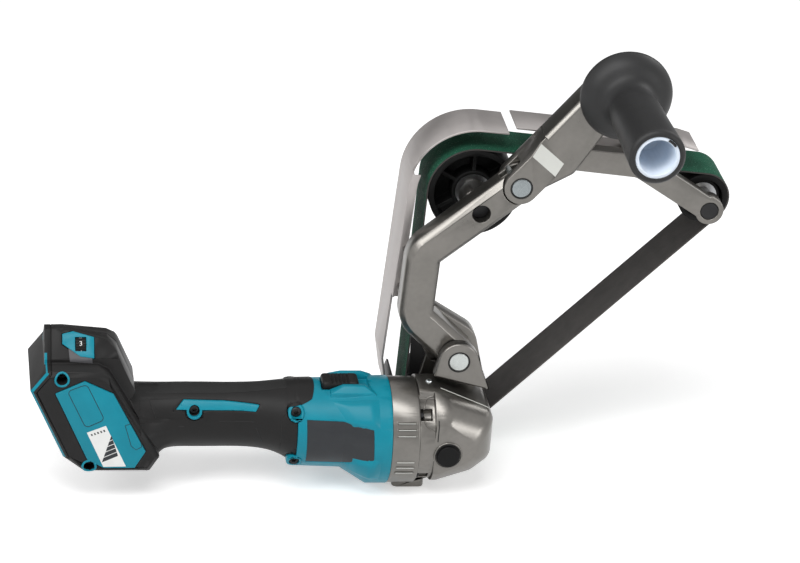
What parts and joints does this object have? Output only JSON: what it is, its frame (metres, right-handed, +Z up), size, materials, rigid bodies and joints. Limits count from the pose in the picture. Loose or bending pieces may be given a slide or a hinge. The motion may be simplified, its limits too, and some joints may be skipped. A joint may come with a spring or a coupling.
{
  "type": "pipe belt sander",
  "caption": "Cordless pipe belt sander: an in-line motor handle and gear head with two sprung, hinged arms that carry a sanding belt round pulleys, sheet guards and a side handle.",
  "frame": {"origin": "centre of the flat pad under the gear housing", "axes": "+X along the motor towards the nose, +Y along the spindle towards the belt, +Z up"},
  "size_m": [0.5097, 0.2004, 0.344],
  "materials": {
    "teal_plastic": "satin moulded, fine grain",
    "dark_plastic": "matte moulded, fine grain",
    "inner_plastic": "plain moulded",
    "handle_rubber": "matte moulded",
    "liner_plastic": "satin",
    "label_film": "satin film, blank",
    "cast_grey": "cast, satin lacquer, bright edges",
    "guard_sheet": "grey coat on folded sheet",
    "pin_steel": "turned",
    "bare_steel": "ground",
    "black_screws": "black oxide or black coat",
    "copper": "enamelled wire and plated blades",
    "pulley_black": "moulded",
    "pulley_rubber": "rubber faced",
    "belt_cloth": "abrasive on cloth"
  },
  "bodies": {
    "root": {"motor_housing": "teal_plastic", "side_panels": "teal_plastic", "accent_strips": "teal_plastic", "dial_plate": "teal_plastic", "battery_base": "teal_plastic", "handle_shell_near": "dark_plastic", "handle_shell_far": "dark_plastic", "terminal_block": "inner_plastic", "controller": "inner_plastic", "switch_unit": "inner_plastic", "nameplate": "label_film", "gear_housing": "cast_grey", "arm_bracket": "cast_grey", "bearing_box": "cast_grey", "pivot_pin": "pin_steel", "spindle_ball_bearing": "bare_steel", "spindle_tail_bearing": "bare_steel", "front_motor_bearing": "bare_steel", "rear_motor_bearing": "bare_steel", "stator_core": "bare_steel", "handle_screws": "black_screws", "motor_screws": "black_screws", "gear_housing_screws": "black_screws", "bearing_box_screws": "black_screws", "drive_guard": "black_screws", "stator_coils": "copper", "terminal_blades": "copper", "sanding_belt": "belt_cloth"},
    "spindle": {"spindle": "bare_steel", "crown_gear": "bare_steel", "drive_pulley": "pulley_rubber", "pulley_nut": "bare_steel"},
    "rotor": {"rotor_core": "bare_steel", "rotor_shaft": "bare_steel", "cooling_fan": "inner_plastic", "bevel_pinion": "bare_steel"},
    "lower_arm": {"lower_arm": "cast_grey", "elbow_pin": "pin_steel", "elbow_stop_pin": "pin_steel", "upper_idler_axle": "black_screws", "upper_idler_nut": "bare_steel", "arm_guard": "guard_sheet", "arm_guard_screws": "black_screws"},
    "upper_idler": {"upper_idler": "pulley_black", "upper_idler_bearings": "bare_steel"},
    "upper_arm": {"upper_arm": "cast_grey", "tip_idler_axle": "black_screws", "tip_idler_nut": "bare_steel", "top_guard": "guard_sheet", "top_guard_screws": "black_screws", "side_handle": "handle_rubber", "handle_liner": "liner_plastic", "handle_stud": "bare_steel"},
    "tip_idler": {"tip_idler": "pulley_black", "tip_idler_bearings": "bare_steel"},
    "slide_switch": {"slide_switch": "dark_plastic"},
    "lock_button": {"lock_button": "dark_plastic"},
    "speed_dial": {"speed_dial": "dark_plastic"}
  },
  "joints": [
    {"name": "lower_arm_pivot", "type": "hinge", "parent": "root", "child": "lower_arm", "pos_m": [0.0322, 0, 0.0979], "axis": [0, 1, 0], "range_deg": [0, 20], "stiffness_Nm_per_rad": 6, "springref_deg": -28.65, "deforming": ["sanding_belt"]},
    {"name": "elbow", "type": "hinge", "parent": "lower_arm", "child": "upper_arm", "pos_m": [0.0677, 0, 0.2333], "axis": [0, 1, 0], "range_deg": [0, 30], "stiffness_Nm_per_rad": 4, "springref_deg": -28.65, "deforming": ["sanding_belt"]},
    {"name": "spindle_spin", "type": "hinge", "parent": "root", "child": "spindle", "pos_m": [0.031, 0, 0.041], "axis": [0, 1, 0], "continuous": true},
    {"name": "rotor_spin", "type": "hinge", "parent": "root", "child": "rotor", "pos_m": [0, 0, 0.041], "axis": [1, 0, 0], "continuous": true},
    {"name": "upper_idler_spin", "type": "hinge", "parent": "lower_arm", "child": "upper_idler", "pos_m": [0.0405, 0, 0.2124], "axis": [0, 1, 0], "continuous": true},
    {"name": "tip_idler_spin", "type": "hinge", "parent": "upper_arm", "child": "tip_idler", "pos_m": [0.2112, 0, 0.2102], "axis": [0, 1, 0], "continuous": true},
    {"name": "switch_slide", "type": "slide", "parent": "root", "child": "slide_switch", "axis": [1, 0, 0], "range_m": [0, 0.007]},
    {"name": "lock_press", "type": "slide", "parent": "root", "child": "lock_button", "axis": [0, 1, 0], "range_m": [0, 0.003], "stiffness_N_per_m": 300, "springref_m": -0.002},
    {"name": "dial_turn", "type": "hinge", "parent": "root", "child": "speed_dial", "pos_m": [-0.2429, -0.00836, 0.11206], "axis": [1, 0, 0], "range_deg": [-200, 50]}
  ],
  "couplings": [
    {"joint": "rotor_spin", "follows": "spindle_spin", "ratio": 2.75},
    {"joint": "upper_idler_spin", "follows": "spindle_spin", "ratio": 0.88201},
    {"joint": "tip_idler_spin", "follows": "spindle_spin", "ratio": 1.5412}
  ]
}
